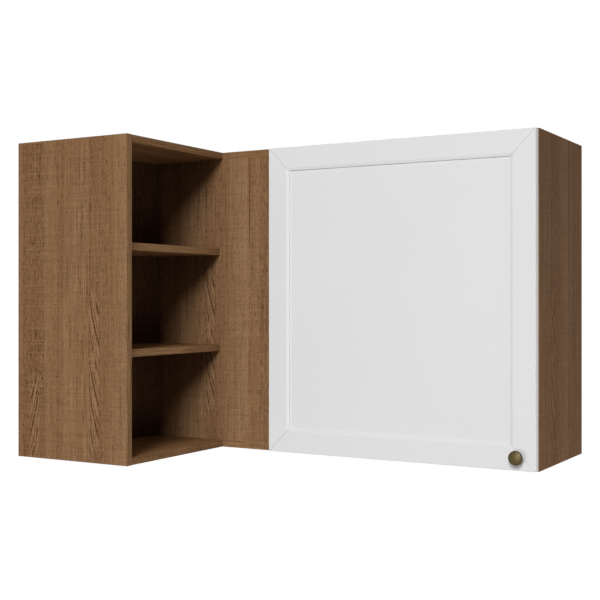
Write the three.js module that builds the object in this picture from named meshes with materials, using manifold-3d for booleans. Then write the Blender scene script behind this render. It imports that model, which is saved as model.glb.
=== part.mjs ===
// Corner wall cabinet: a hung carcass with one framed door on its right and an open wing of
// shelves on its left that turns the corner. Millimetres, X along the wall from the corner,
// +Y into the wall, +Z up. Everything is laid out from the corner at the floor of the cabinet,
// and the whole is then moved so that the origin lies on the back, behind the hanging rail.
import * as THREE from 'three';
import { mergeVertices } from 'three/addons/utils/BufferGeometryUtils.js';
import Module from 'manifold-3d';

const wasm = await Module();
wasm.setup();

// Carcass
const cabinetWidth = 1082;
const cabinetHeight = 700;
const carcassDepth = 308;
const boardThickness = 16;
const backThickness = 3;
const railHeight = 70;
const stileDepth = 70;
const joinerWidth = 20;
const joinerThickness = 1.2;
const joinerWeb = 1;

// Open wing
const wingReach = 360.5;
const endPanelWidth = 309;
const wingBoardSetback = 2;
const nicheShelfSetback = 10;
const nicheShelfCount = 2;
const nicheBackRoot = 121;
const nicheBackTip = 18;

// Door
const doorWidth = 632;
const doorThickness = 18;
const doorGap = 2;
const doorEndReveal = 2;
const doorSideReveal = 1.5;
const frameFlat = 47.5;
const bevelWidth = 6.5;
const bevelDrop = 1.5;
const panelRecess = 4;
const panelThickness = 6;
const grooveDepth = 8;
const mitreGap = 0.3;
const frameEase = 1;

// Knob
const knobRadius = 15;
const knobReach = 24;
const knobRimThickness = 5;
const knobDome = 3;
const knobNeckRadius = 5;
const knobFootRadius = 7;
const knobInset = 36;
const knobRise = 28;
const knobBoreDepth = 10;

// Inner shelf
const innerShelfRise = 342;
const innerShelfSetback = 22;
const shelfEndPlay = 1;
const pinRadius = 2.5;
const pinLength = 16;
const pinBoreDepth = 8.5;
const pinEdgeDistance = 50;

// Cup hinges, measured from the cup's centre on the door's back face
const hingeEndDistance = 100;
const hingeOverlay = 14;
const cupRadius = 17.5;
const cupEdge = 5;
const cupDepth = 11.5;
const cupWall = 1.2;
const flangeRadius = 19;
const flangeThickness = 1.2;
const earWidth = 13;
const cupScrewSpread = 24;
const cupScrewOffset = 9.5;
const armPinPlace = [11.9, 4.7];
const linkBends = [[0.5, -5.65], [-4, -5.4], [-13, -3.3]];
const cupPinPlace = [0, -8.45];
const linkThickness = 2;
const linkHalfWidth = 5;
const linkEyeRadius = 3;
const hingePinRadius = 1.5;
const armHalfWidth = 8.5;
const armLength = 66;
const armBack = 9.2;
const spineHalfWidth = 6;
const spineHeight = 5;
const plateThickness = 2;
const plateScrewDepth = 37;
const plateScrewSpread = 16;
const plateEarLength = 14;
const armScrewPlace = 58;

// Screws and cam fittings
const screwHeadRadius = 3.5;
const screwHeadHeight = 1.5;
const screwRadius = 1.8;
const plateScrewLength = 13;
const cupScrewLength = 9;
const armScrewLength = 7;
const knobScrewRadius = 2;
const camRadius = 7.5;
const camDepth = 12.5;
const camFromEnd = 24;
const boltRadius = 3;
const boltGrip = 11;
const camEdgeDistance = 37;
const bumperRadius = 4;
const bumperThickness = 1.7;
const bumperEndDistance = 22;

// Clearance
const fit = 0.3;
const grooveFit = 0.15;

// Places that follow from the sizes above
const frontY = -carcassDepth;
const wingY = frontY - wingReach;
const wingInnerY = wingY + boardThickness;
const innerBottom = boardThickness;
const innerTop = cabinetHeight - boardThickness;
const innerLeft = boardThickness;
const innerRight = cabinetWidth - boardThickness;
const wingBoardX = endPanelWidth - wingBoardSetback;
const nicheShelfX = endPanelWidth - nicheShelfSetback;
const doorRight = cabinetWidth - doorSideReveal;
const doorLeft = doorRight - doorWidth;
const doorBottom = doorEndReveal;
const doorTop = cabinetHeight - doorEndReveal;
const doorBackY = frontY - doorGap;
const stileFaceX = doorLeft + hingeOverlay;
const stileBackX = stileFaceX - boardThickness;
const stileRearY = frontY + boardThickness + stileDepth;
const backSeamX = (stileBackX + stileFaceX) / 2;
const railBottom = innerTop - railHeight;
const cupX = doorLeft + cupEdge + cupRadius;
const hingeHeights = { lower: doorBottom + hingeEndDistance, upper: doorTop - hingeEndDistance };
const knobX = doorRight - knobInset;
const knobZ = doorBottom + knobRise;
const pinZ = innerShelfRise - fit - pinRadius;
const pinRows = { front: frontY + innerShelfSetback + pinEdgeDistance, rear: -pinEdgeDistance };
const camRows = { front: frontY + camEdgeDistance, rear: -camEdgeDistance };
const camX = innerRight - camFromEnd;

const finishes = {
  decor: { color: 0x86684a, roughness: 0.62, metalness: 0 },
  back: { color: 0x7a5f45, roughness: 0.75, metalness: 0 },
  paint: { color: 0xe0e0df, roughness: 0.4, metalness: 0 },
  brass: { color: 0x6f6341, roughness: 0.42, metalness: 0.9 },
  steel: { color: 0xb9bbbd, roughness: 0.32, metalness: 1 },
  zinc: { color: 0xa6a8a6, roughness: 0.45, metalness: 1 },
  nylon: { color: 0xe8e8e4, roughness: 0.5, metalness: 0 },
};

// Basic shapes, each placed where it belongs

function block(low, high) {
  const size = high.map((value, i) => value - low[i]);
  const centre = high.map((value, i) => (value + low[i]) / 2);
  return new THREE.BoxGeometry(...size).translate(...centre);
}

function prism(points, bottom, top) {
  const shape = new THREE.Shape(points.map(([x, y]) => new THREE.Vector2(x, y)));
  return new THREE.ExtrudeGeometry(shape, { depth: top - bottom, bevelEnabled: false })
    .translate(0, 0, bottom);
}

// A solid of revolution: the profile gives [radius, distance along the direction] pairs
function turned(profile, place, direction, segments = 24) {
  const points = profile.map(([radius, along]) => new THREE.Vector2(radius, along));
  const turn = new THREE.Quaternion()
    .setFromUnitVectors(new THREE.Vector3(0, 1, 0), new THREE.Vector3(...direction));
  return new THREE.LatheGeometry(points, segments).applyQuaternion(turn).translate(...place);
}

function rod(place, direction, radius, length, segments = 24) {
  return turned([[0, 0], [radius, 0], [radius, length], [0, length]], place, direction, segments);
}

// Joins and cuts

function solidOf(geometry) {
  const bare = geometry.clone();
  bare.deleteAttribute('normal');
  bare.deleteAttribute('uv');
  const merged = mergeVertices(bare, 1e-4);
  const positions = merged.getAttribute('position').array;
  return new wasm.Manifold(new wasm.Mesh({
    numProp: 3,
    vertProperties: new Float32Array(positions),
    triVerts: new Uint32Array(merged.getIndex().array),
  }));
}

function geometryOf(solid) {
  const { vertProperties, triVerts } = solid.getMesh();
  const geometry = new THREE.BufferGeometry();
  geometry.setAttribute('position', new THREE.BufferAttribute(vertProperties, 3));
  geometry.setIndex(new THREE.BufferAttribute(triVerts, 1));
  geometry.computeVertexNormals();
  return geometry;
}

function carve(base, removed = [], added = []) {
  let solid = solidOf(base);
  for (const piece of added) solid = solid.add(solidOf(piece));
  for (const piece of removed) solid = solid.subtract(solidOf(piece));
  return geometryOf(solid);
}

const cabinet = new THREE.Group();
cabinet.name = 'corner_wall_cabinet';
cabinet.position.set(-cabinetWidth / 2, 0, -(railBottom + innerTop) / 2);

function add(name, geometry, finish) {
  const mesh = new THREE.Mesh(geometry, new THREE.MeshStandardMaterial(finishes[finish]));
  mesh.name = name;
  cabinet.add(mesh);
}

// Carcass boards

function boltHole(row, z) {
  const start = camX + camRadius;
  return rod([start, row, z], [1, 0, 0], boltRadius + fit, innerRight + boltGrip + fit - start);
}

function camPocket(row, face, into) {
  return rod([camX, row, face], [0, 0, into], camRadius + fit, camDepth + fit);
}

function pinHole(face, row, into) {
  return rod([face, row, pinZ], [into, 0, 0], pinRadius + fit, pinBoreDepth + fit);
}

function addTopAndBottomBoards() {
  const boards = [
    { name: 'bottom_board', low: 0, face: innerBottom, into: -1 },
    { name: 'top_board', low: innerTop, face: innerTop, into: 1 },
  ];
  for (const { name, low, face, into } of boards) {
    const board = block([innerLeft, frontY, low], [innerRight, -backThickness, low + boardThickness]);
    const cuts = Object.values(camRows).flatMap((row) => [
      camPocket(row, face, into),
      boltHole(row, low + boardThickness / 2),
    ]);
    add(name, carve(board, cuts), 'decor');
  }
}

function addSides() {
  const rows = Object.values(pinRows);
  const left = block([0, frontY, 0], [innerLeft, 0, cabinetHeight]);
  add('left_side', carve(left, rows.map((row) => pinHole(innerLeft, row, -1))), 'decor');

  const right = block([innerRight, frontY, 0], [cabinetWidth, 0, cabinetHeight]);
  const boltHeights = [boardThickness / 2, cabinetHeight - boardThickness / 2];
  const cuts = [
    ...rows.map((row) => pinHole(innerRight, row, 1)),
    ...Object.values(camRows).flatMap((row) => boltHeights.map((z) => boltHole(row, z))),
  ];
  add('right_side', carve(right, cuts), 'decor');
}

function addFillerAndStile() {
  add('filler_panel', block(
    [innerLeft, frontY, innerBottom],
    [stileFaceX, frontY + boardThickness, innerTop],
  ), 'decor');

  const stile = block(
    [stileBackX, frontY + boardThickness, innerBottom],
    [stileFaceX, stileRearY, innerTop],
  );
  const screwHoles = Object.values(hingeHeights).flatMap((z) => [-1, 1].map((side) => rod(
    [stileFaceX, frontY + plateScrewDepth, z + side * plateScrewSpread],
    [-1, 0, 0],
    screwRadius + fit,
    plateScrewLength - plateThickness + fit,
  )));
  const shelfPinHole = pinHole(stileFaceX, stileRearY - boardThickness, -1);
  add('hinge_stile', carve(stile, [...screwHoles, shelfPinHole]), 'decor');
}

function addBack() {
  const web = joinerWeb / 2;
  const panelEnd = web + fit;
  add('back_panel_left', block(
    [innerLeft, -backThickness, 0],
    [backSeamX - panelEnd, 0, cabinetHeight],
  ), 'back');
  add('back_panel_right', block(
    [backSeamX + panelEnd, -backThickness, 0],
    [innerRight, 0, cabinetHeight],
  ), 'back');

  const flange = joinerWidth / 2;
  const joiner = [
    [-flange, -backThickness - joinerThickness],
    [flange, -backThickness - joinerThickness],
    [flange, -backThickness],
    [web, -backThickness],
    [web, 0],
    [-web, 0],
    [-web, -backThickness],
    [-flange, -backThickness],
  ].map(([x, y]) => [backSeamX + x, y]);
  add('back_joiner', prism(joiner, innerBottom, railBottom), 'nylon');
}

function addHangingRail() {
  add('hanging_rail', block(
    [innerLeft, -backThickness - boardThickness, railBottom],
    [innerRight, -backThickness, innerTop],
  ), 'decor');
}

// The inner shelf runs from side to side and is notched around the hinge stile
function addInnerShelf() {
  const shelfFront = frontY + innerShelfSetback;
  const shelfRear = -backThickness - joinerThickness - shelfEndPlay;
  const notchLeft = stileBackX - shelfEndPlay;
  const notchRight = stileFaceX + shelfEndPlay;
  const notchRear = stileRearY + shelfEndPlay;
  const outline = [
    [innerLeft + shelfEndPlay, shelfFront],
    [notchLeft, shelfFront],
    [notchLeft, notchRear],
    [notchRight, notchRear],
    [notchRight, shelfFront],
    [innerRight - shelfEndPlay, shelfFront],
    [innerRight - shelfEndPlay, shelfRear],
    [innerLeft + shelfEndPlay, shelfRear],
  ];
  add('inner_shelf', prism(outline, innerShelfRise, innerShelfRise + boardThickness), 'decor');
}

function addShelfPins() {
  const pins = [
    ...Object.entries(pinRows).map(([row, y]) => [`left_${row}`, innerLeft, y, 1]),
    ...Object.entries(pinRows).map(([row, y]) => [`right_${row}`, innerRight, y, -1]),
    ['middle', stileFaceX, stileRearY - boardThickness, 1],
  ];
  for (const [name, face, y, outward] of pins) {
    const start = [face - outward * pinBoreDepth, y, pinZ];
    add(`shelf_pin_${name}`, rod(start, [outward, 0, 0], pinRadius, pinLength), 'steel');
  }
}

function addCamFittings() {
  const boards = [
    ['bottom', innerBottom, -1, boardThickness / 2],
    ['top', innerTop, 1, cabinetHeight - boardThickness / 2],
  ];
  for (const [board, face, into, boltZ] of boards) {
    for (const [row, y] of Object.entries(camRows)) {
      add(`cam_${board}_${row}`, rod([camX, y, face], [0, 0, into], camRadius, camDepth), 'zinc');
      const start = camX + camRadius + fit;
      const length = innerRight + boltGrip - start;
      add(`cam_bolt_${board}_${row}`, rod([start, y, boltZ], [1, 0, 0], boltRadius, length), 'zinc');
    }
  }
}

// Open wing: an end panel, two boards, a slanted back and shelves between them

const slant = (nicheBackRoot - nicheBackTip) / (frontY - wingInnerY);
const slantFactor = Math.hypot(1, slant);

function nicheBackX(y) {
  return nicheBackTip + slant * (y - wingInnerY);
}

function addWingPanels() {
  add('end_panel', block([0, wingY, 0], [endPanelWidth, wingInnerY, cabinetHeight]), 'decor');
  for (const [name, low] of [['niche_bottom_board', 0], ['niche_top_board', innerTop]]) {
    add(name, block([0, wingInnerY, low], [wingBoardX, frontY, low + boardThickness]), 'decor');
  }

  const across = boardThickness * slantFactor;
  const outline = [
    [nicheBackTip - across, wingInnerY],
    [nicheBackTip, wingInnerY],
    [nicheBackRoot, frontY],
    [nicheBackRoot - across, frontY],
  ];
  add('niche_back_panel', prism(outline, innerBottom, innerTop), 'decor');
}

function addNicheShelves() {
  const play = fit * slantFactor;
  const outline = [
    [nicheBackX(wingInnerY) + play, wingInnerY],
    [nicheShelfX, wingInnerY],
    [nicheShelfX, frontY],
    [nicheBackX(frontY) + play, frontY],
  ];
  const clearHeight = innerTop - innerBottom - nicheShelfCount * boardThickness;
  const bay = clearHeight / (nicheShelfCount + 1);
  for (let i = 1; i <= nicheShelfCount; i += 1) {
    const bottom = innerBottom + i * bay + (i - 1) * boardThickness;
    add(`niche_shelf_${i}`, prism(outline, bottom, bottom + boardThickness), 'decor');
  }
}

// Door: four mitred frame members around a panel held in their grooves

// A member's section, u from the door's outer edge inwards and v from its back face forwards
function frameSection() {
  const inner = frameFlat + bevelWidth;
  const grooveFloor = inner - grooveDepth;
  const grooveFront = doorThickness - panelRecess + grooveFit;
  const grooveBack = grooveFront - panelThickness - 2 * grooveFit;
  return [
    [0, 0],
    [inner, 0],
    [inner, grooveBack],
    [grooveFloor, grooveBack],
    [grooveFloor, grooveFront],
    [inner, grooveFront],
    [inner, doorThickness - bevelDrop],
    [frameFlat, doorThickness],
    [frameEase, doorThickness],
    [0, doorThickness - frameEase],
  ];
}

// The section is run along its length, and each end is sheared back by u to make the mitre
function frameMember(length, corner, inward) {
  const geometry = prism(frameSection(), 0, 1);
  const position = geometry.getAttribute('position');
  const trim = mitreGap / Math.SQRT2;
  for (let i = 0; i < position.count; i += 1) {
    const back = position.getX(i) + trim;
    position.setZ(i, position.getZ(i) > 0.5 ? length - back : back);
  }
  const u = new THREE.Vector3(...inward);
  const v = new THREE.Vector3(0, -1, 0);
  const along = new THREE.Vector3().crossVectors(u, v);
  const matrix = new THREE.Matrix4().makeBasis(u, v, along).setPosition(...corner);
  return geometry.applyMatrix4(matrix);
}

function cupPocket(z) {
  return rod([cupX, doorBackY, z], [0, -1, 0], cupRadius + fit, cupDepth + fit, 48);
}

function cupScrewHoles(z, start, length) {
  return [-1, 1].map((side) => rod(
    [cupX + cupScrewOffset, start, z + side * cupScrewSpread],
    [0, -1, 0],
    screwRadius + fit,
    length,
  ));
}

function addDoorFrame() {
  const height = doorTop - doorBottom;
  const hingeCuts = Object.values(hingeHeights).flatMap((z) => [
    cupPocket(z),
    ...cupScrewHoles(z, doorBackY, cupScrewLength + fit),
  ]);
  const leftStile = frameMember(height, [doorLeft, doorBackY, doorTop], [1, 0, 0]);
  add('door_stile_left', carve(leftStile, hingeCuts), 'paint');
  add('door_stile_right', frameMember(height, [doorRight, doorBackY, doorBottom], [-1, 0, 0]), 'paint');
  add('door_rail_top', frameMember(doorWidth, [doorRight, doorBackY, doorTop], [0, 0, -1]), 'paint');

  const bottomRail = frameMember(doorWidth, [doorLeft, doorBackY, doorBottom], [0, 0, 1]);
  const knobHole = rod(
    [knobX, doorBackY + fit, knobZ],
    [0, -1, 0],
    knobScrewRadius + fit,
    doorThickness + 2 * fit,
  );
  add('door_rail_bottom', carve(bottomRail, [knobHole]), 'paint');
}

function addDoorPanel() {
  const edge = frameFlat + bevelWidth - grooveDepth + fit;
  const front = doorBackY - doorThickness + panelRecess;
  add('door_panel', block(
    [doorLeft + edge, front, doorBottom + edge],
    [doorRight - edge, front + panelThickness, doorTop - edge],
  ), 'paint');
}

// A button knob on a waisted neck, bored from behind for its screw
function addKnob() {
  const shoulder = knobReach - knobDome;
  const rimBack = shoulder - knobRimThickness;
  const path = new THREE.Path();
  path.moveTo(0, knobBoreDepth);
  path.lineTo(knobScrewRadius + fit, knobBoreDepth);
  path.lineTo(knobScrewRadius + fit, 0);
  path.lineTo(knobFootRadius, 0);
  path.quadraticCurveTo(knobNeckRadius, rimBack * 0.25, knobNeckRadius, rimBack * 0.6);
  path.quadraticCurveTo(knobNeckRadius, rimBack, knobRadius - 1, rimBack);
  path.quadraticCurveTo(knobRadius, rimBack, knobRadius, rimBack + knobRimThickness / 2);
  path.quadraticCurveTo(knobRadius, shoulder, knobRadius - 2, shoulder + knobDome * 0.3);
  path.quadraticCurveTo(knobRadius / 2, knobReach, 0, knobReach);
  const profile = path.getPoints(5).map(({ x, y }) => [x, y]);
  const foot = [knobX, doorBackY - doorThickness, knobZ];
  add('door_knob', turned(profile, foot, [0, -1, 0], 40), 'brass');

  const length = doorThickness + knobBoreDepth - 2;
  add('knob_screw', screw([knobX, doorBackY, knobZ], [0, -1, 0], length, knobScrewRadius), 'zinc');
}

// A pan-head screw whose head stands on the given place and whose shank runs along the direction
function screw(place, direction, length, radius = screwRadius) {
  return turned([
    [0, -screwHeadHeight],
    [screwHeadRadius * 0.75, -screwHeadHeight],
    [screwHeadRadius, -screwHeadHeight * 0.4],
    [screwHeadRadius, 0],
    [radius, 0],
    [radius, length - radius],
    [0, length],
  ], place, direction, 16);
}

// Cup hinges. Each has a cup let into the door, an arm on a plate on the stile, and a cranked
// link that is pinned in the arm's nose and reaches into the cup past the cup's cross pin.

function atHinge([x, y], z) {
  return [cupX + x, doorBackY + y, z];
}

function addHingeCup(name, z) {
  const flange = rod([cupX, doorBackY, z], [0, 1, 0], flangeRadius, flangeThickness, 48);
  const bowl = rod([cupX, doorBackY + fit / 2, z], [0, -1, 0], cupRadius, cupDepth + fit / 2, 48);
  const earHalf = cupScrewSpread + earWidth / 2;
  const ears = block(
    [cupX + cupScrewOffset - earWidth / 2, doorBackY, z - earHalf],
    [cupX + cupScrewOffset + earWidth / 2, doorBackY + flangeThickness, z + earHalf],
  );
  const hollow = rod(
    [cupX, doorBackY + 2 * flangeThickness, z],
    [0, -1, 0],
    cupRadius - cupWall,
    cupDepth - cupWall + 2 * flangeThickness,
    48,
  );
  const shell = carve(flange, [
    hollow,
    ...cupScrewHoles(z, doorBackY + 2 * flangeThickness, 3 * flangeThickness),
  ], [bowl, ears]);
  const pinHalf = Math.sqrt((cupRadius - cupWall / 2) ** 2 - cupPinPlace[0] ** 2);
  const pin = rod(atHinge(cupPinPlace, z - pinHalf), [0, 0, 1], hingePinRadius, 2 * pinHalf, 16);
  add(name, carve(shell, [], [pin]), 'steel');
}

// The link is a strip of even thickness along its bends, with an eye for the arm's pin
function addHingeLink(name, z) {
  const route = [armPinPlace, ...linkBends].map(([x, y]) => new THREE.Vector2(x, y));
  const normals = route.slice(1).map((point, i) => {
    const step = point.clone().sub(route[i]).normalize();
    return new THREE.Vector2(-step.y, step.x);
  });
  const offsets = route.map((point, i) => {
    const before = normals[Math.max(i - 1, 0)];
    const after = normals[Math.min(i, normals.length - 1)];
    const mean = before.clone().add(after).normalize();
    return mean.multiplyScalar(linkThickness / 2 / mean.dot(after));
  });
  const sideA = route.map((point, i) => point.clone().add(offsets[i]));
  const sideB = route.map((point, i) => point.clone().sub(offsets[i])).reverse();
  const outline = [...sideA, ...sideB].map(({ x, y }) => [cupX + x, doorBackY + y]);
  const strip = prism(outline, z - linkHalfWidth, z + linkHalfWidth);
  const nose = linkBends[linkBends.length - 1];
  const width = 2 * linkHalfWidth;
  const eye = rod(atHinge(armPinPlace, z - linkHalfWidth), [0, 0, 1], linkEyeRadius, width);
  const tip = rod(atHinge(nose, z - linkHalfWidth), [0, 0, 1], linkThickness / 2, width, 16);
  const hole = rod(
    atHinge(armPinPlace, z - linkHalfWidth - fit),
    [0, 0, 1],
    hingePinRadius + fit,
    width + 2 * fit,
  );
  add(name, carve(strip, [hole], [eye, tip]), 'steel');
}

// The arm is a channel over the plate's spine that cranks out to a forked nose with a pin
function addHingeArm(name, z) {
  const [pinX, pinY] = armPinPlace;
  const plateTop = hingeOverlay - cupEdge - cupRadius + plateThickness;
  const low = plateTop + fit;
  const high = low + armBack;
  const outline = [
    [low, armLength],
    [low, 24],
    [pinX - linkEyeRadius, pinY],
    [pinX + linkEyeRadius, pinY],
    [pinX + linkEyeRadius, pinY + 4],
    [high, 30],
    [high, armLength],
  ].reverse().map(([x, y]) => [cupX + x, doorBackY + y]);
  const body = prism(outline, z - armHalfWidth, z + armHalfWidth);
  const forkHalf = linkHalfWidth + fit;
  const spineTop = plateTop + spineHeight + fit;
  const nose = rod(
    atHinge(armPinPlace, z - armHalfWidth),
    [0, 0, 1],
    linkEyeRadius,
    2 * armHalfWidth,
  );
  const fork = block(
    atHinge([low, pinY - 2 * linkEyeRadius], z - forkHalf),
    atHinge([pinX + 2 * linkEyeRadius, pinY + linkEyeRadius + fit], z + forkHalf),
  );
  const channel = block(
    atHinge([low - fit, armLength - spineLength() - fit], z - spineHalfWidth - fit),
    atHinge([spineTop, armLength + fit], z + spineHalfWidth + fit),
  );
  const screwHole = rod(
    atHinge([low - fit, armScrewPlace], z),
    [1, 0, 0],
    screwRadius + fit,
    armBack + 2 * fit,
  );
  const forked = carve(body, [fork, channel, screwHole], [nose]);
  const pin = rod(
    atHinge(armPinPlace, z - armHalfWidth + fit),
    [0, 0, 1],
    hingePinRadius,
    2 * (armHalfWidth - fit),
    16,
  );
  add(name, carve(forked, [], [pin]), 'steel');
  add(`${name}_screw`, screw(atHinge([high, armScrewPlace], z), [-1, 0, 0], armScrewLength), 'zinc');
}

function spineLength() {
  return armLength - doorGap - boardThickness;
}

function addHingePlate(name, z) {
  const plateBase = hingeOverlay - cupEdge - cupRadius;
  const plateTop = plateBase + plateThickness;
  const screwY = doorGap + plateScrewDepth;
  const earHalf = plateScrewSpread + plateEarLength / 2;
  const ears = block(
    atHinge([plateBase, screwY - plateEarLength / 2], z - earHalf),
    atHinge([plateTop, screwY + plateEarLength / 2], z + earHalf),
  );
  const spine = block(
    atHinge([plateBase, armLength - spineLength()], z - spineHalfWidth),
    atHinge([plateTop + spineHeight, armLength], z + spineHalfWidth),
  );
  const holes = [-1, 1].map((side) => rod(
    atHinge([plateBase - fit, screwY], z + side * plateScrewSpread),
    [1, 0, 0],
    screwRadius + fit,
    plateThickness + 2 * fit,
  ));
  const armScrewHole = rod(
    atHinge([plateTop + spineHeight + fit, armScrewPlace], z),
    [-1, 0, 0],
    screwRadius + fit,
    spineHeight,
  );
  add(name, carve(ears, [...holes, armScrewHole], [spine]), 'steel');
  for (const [end, side] of [['lower', -1], ['upper', 1]]) {
    const place = atHinge([plateTop, screwY], z + side * plateScrewSpread);
    add(`${name}_screw_${end}`, screw(place, [-1, 0, 0], plateScrewLength), 'zinc');
  }
}

function addCupScrews(name, z) {
  for (const [end, side] of [['lower', -1], ['upper', 1]]) {
    const place = atHinge([cupScrewOffset, flangeThickness], z + side * cupScrewSpread);
    add(`${name}_screw_${end}`, screw(place, [0, -1, 0], cupScrewLength), 'zinc');
  }
}

function addHinges() {
  for (const [place, z] of Object.entries(hingeHeights)) {
    addHingeCup(`hinge_cup_${place}`, z);
    addCupScrews(`hinge_cup_${place}`, z);
    addHingeLink(`hinge_link_${place}`, z);
    addHingeArm(`hinge_arm_${place}`, z);
    addHingePlate(`hinge_plate_${place}`, z);
  }
}

function addBumpers() {
  const x = innerRight + boardThickness / 2;
  const heights = { lower: doorBottom + bumperEndDistance, upper: doorTop - bumperEndDistance };
  for (const [place, z] of Object.entries(heights)) {
    const pad = rod([x, doorBackY, z], [0, 1, 0], bumperRadius, bumperThickness, 20);
    add(`bumper_${place}`, pad, 'nylon');
  }
}

addTopAndBottomBoards();
addSides();
addFillerAndStile();
addBack();
addHangingRail();
addInnerShelf();
addShelfPins();
addCamFittings();
addWingPanels();
addNicheShelves();
addDoorFrame();
addDoorPanel();
addKnob();
addHinges();
addBumpers();

export default cabinet;
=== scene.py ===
import math

import bmesh
import bpy
import numpy as np
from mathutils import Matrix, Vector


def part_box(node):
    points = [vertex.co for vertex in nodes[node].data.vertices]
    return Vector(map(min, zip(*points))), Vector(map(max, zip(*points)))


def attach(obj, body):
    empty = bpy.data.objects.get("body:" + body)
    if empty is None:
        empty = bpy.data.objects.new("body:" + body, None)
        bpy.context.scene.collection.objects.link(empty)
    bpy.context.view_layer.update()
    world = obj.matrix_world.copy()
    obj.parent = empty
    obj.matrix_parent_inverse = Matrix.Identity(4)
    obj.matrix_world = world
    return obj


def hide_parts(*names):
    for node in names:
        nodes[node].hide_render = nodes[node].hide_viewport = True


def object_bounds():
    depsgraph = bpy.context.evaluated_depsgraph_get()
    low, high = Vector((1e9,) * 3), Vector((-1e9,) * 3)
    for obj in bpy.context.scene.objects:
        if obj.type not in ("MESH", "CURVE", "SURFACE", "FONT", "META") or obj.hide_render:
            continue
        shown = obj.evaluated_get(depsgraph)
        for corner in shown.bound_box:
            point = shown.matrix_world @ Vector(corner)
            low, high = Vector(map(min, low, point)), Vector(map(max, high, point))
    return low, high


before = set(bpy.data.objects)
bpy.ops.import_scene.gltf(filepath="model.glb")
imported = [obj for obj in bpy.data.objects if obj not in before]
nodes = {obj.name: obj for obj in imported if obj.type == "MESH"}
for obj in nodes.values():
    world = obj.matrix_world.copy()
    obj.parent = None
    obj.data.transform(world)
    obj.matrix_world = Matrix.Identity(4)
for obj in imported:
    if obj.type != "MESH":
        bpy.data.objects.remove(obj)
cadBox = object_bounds()


# Camera, where the photograph was taken from

cameraSettings = {
    "place": (1.2446, -2.5, -0.2976),
    "turn": 30.0,  # degrees to the right of the front, with a level view
    "lens": 66.42,
    "shiftY": -0.0015,
}


def placeCamera(settings):
    lens = bpy.data.cameras.new("photoCamera")
    lens.lens = settings["lens"]
    lens.sensor_width = 36
    lens.shift_y = settings["shiftY"]
    lens.clip_start = 0.05
    lens.clip_end = 60
    camera = bpy.data.objects.new("photoCamera", lens)
    camera.location = settings["place"]
    camera.rotation_euler = (math.radians(90), 0, math.radians(settings["turn"]))
    bpy.context.scene.collection.objects.link(camera)
    bpy.context.scene.camera = camera


placeCamera(cameraSettings)
bpy.context.scene.view_settings.view_transform = "Standard"
print("camera placed")


# Small helpers for shader nodes

def tint(red, green, blue):
    # screen colour 0 to 255 made linear
    parts = np.array([red, green, blue]) / 255
    linear = np.where(parts <= 0.04045, parts / 12.92, ((parts + 0.055) / 1.055) ** 2.4)
    return (*[float(value) for value in linear], 1.0)


def putNode(tree, kind, inputs=None, **settings):
    node = tree.nodes.new("ShaderNode" + kind)
    for key, value in settings.items():
        setattr(node, key, value)
    for key, value in (inputs or {}).items():
        if isinstance(value, bpy.types.NodeSocket):
            tree.links.new(value, node.inputs[key])
        else:
            node.inputs[key].default_value = value
    return node


def calc(tree, operation, *values, clamp=False):
    inputs = dict(enumerate(values))
    return putNode(tree, "Math", inputs, operation=operation, use_clamp=clamp).outputs[0]


def chain(tree, operation, *values):
    # a sum, product or maximum of several values, taken from the first to the last
    result = values[0]
    for value in values[1:]:
        result = calc(tree, operation, result, value)
    return result


def noise(tree, vector, factors, detail=2.0, roughness=0.5):
    stretched = putNode(tree, "VectorMath", {0: vector, 1: factors}, operation="MULTIPLY").outputs[0]
    inputs = {"Vector": stretched, "Scale": 1.0, "Detail": detail, "Roughness": roughness}
    return putNode(tree, "TexNoise", inputs).outputs["Fac"]


def ease(tree, value, low, high, start=0.0, end=1.0):
    inputs = {"Value": value, "From Min": low, "From Max": high, "To Min": start, "To Max": end}
    return putNode(tree, "MapRange", inputs, interpolation_type="SMOOTHSTEP").outputs[0]


def blendColours(tree, factor, first, second, mode="MIX"):
    # a Mix node keeps its two colours in inputs 6 and 7, and the mixed one in output 2
    inputs = {0: factor, 6: first, 7: second}
    return putNode(tree, "Mix", inputs, data_type="RGBA", blend_type=mode).outputs[2]


def newGroup(name, inputs, outputs):
    group = bpy.data.node_groups.new(name, "ShaderNodeTree")
    kinds = {"value": "NodeSocketFloat", "vector": "NodeSocketVector"}
    for label, kind, value in inputs:
        socket = group.interface.new_socket(name=label, in_out="INPUT", socket_type=kinds[kind])
        if value is not None:
            socket.default_value = value
    for label in outputs:
        group.interface.new_socket(name=label, in_out="OUTPUT", socket_type=kinds["value"])
    return group, group.nodes.new("NodeGroupInput").outputs, group.nodes.new("NodeGroupOutput").inputs


def useGroup(tree, group, inputs):
    return putNode(tree, "Group", inputs, node_tree=group).outputs


def newMaterial(name, **shaderValues):
    # the words of a shader input's name are joined by underscores
    material = bpy.data.materials.new(name)
    material.use_nodes = True
    tree = material.node_tree
    shader = tree.nodes["Principled BSDF"]
    for key, value in shaderValues.items():
        shader.inputs[key.replace("_", " ")].default_value = value
    return material, tree, shader


def bumpOn(tree, shader, height, distance):
    bump = putNode(tree, "Bump", {"Height": height, "Distance": distance, "Strength": 1.0})
    tree.links.new(bump.outputs["Normal"], shader.inputs["Normal"])


# Effects shared by several materials

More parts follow.
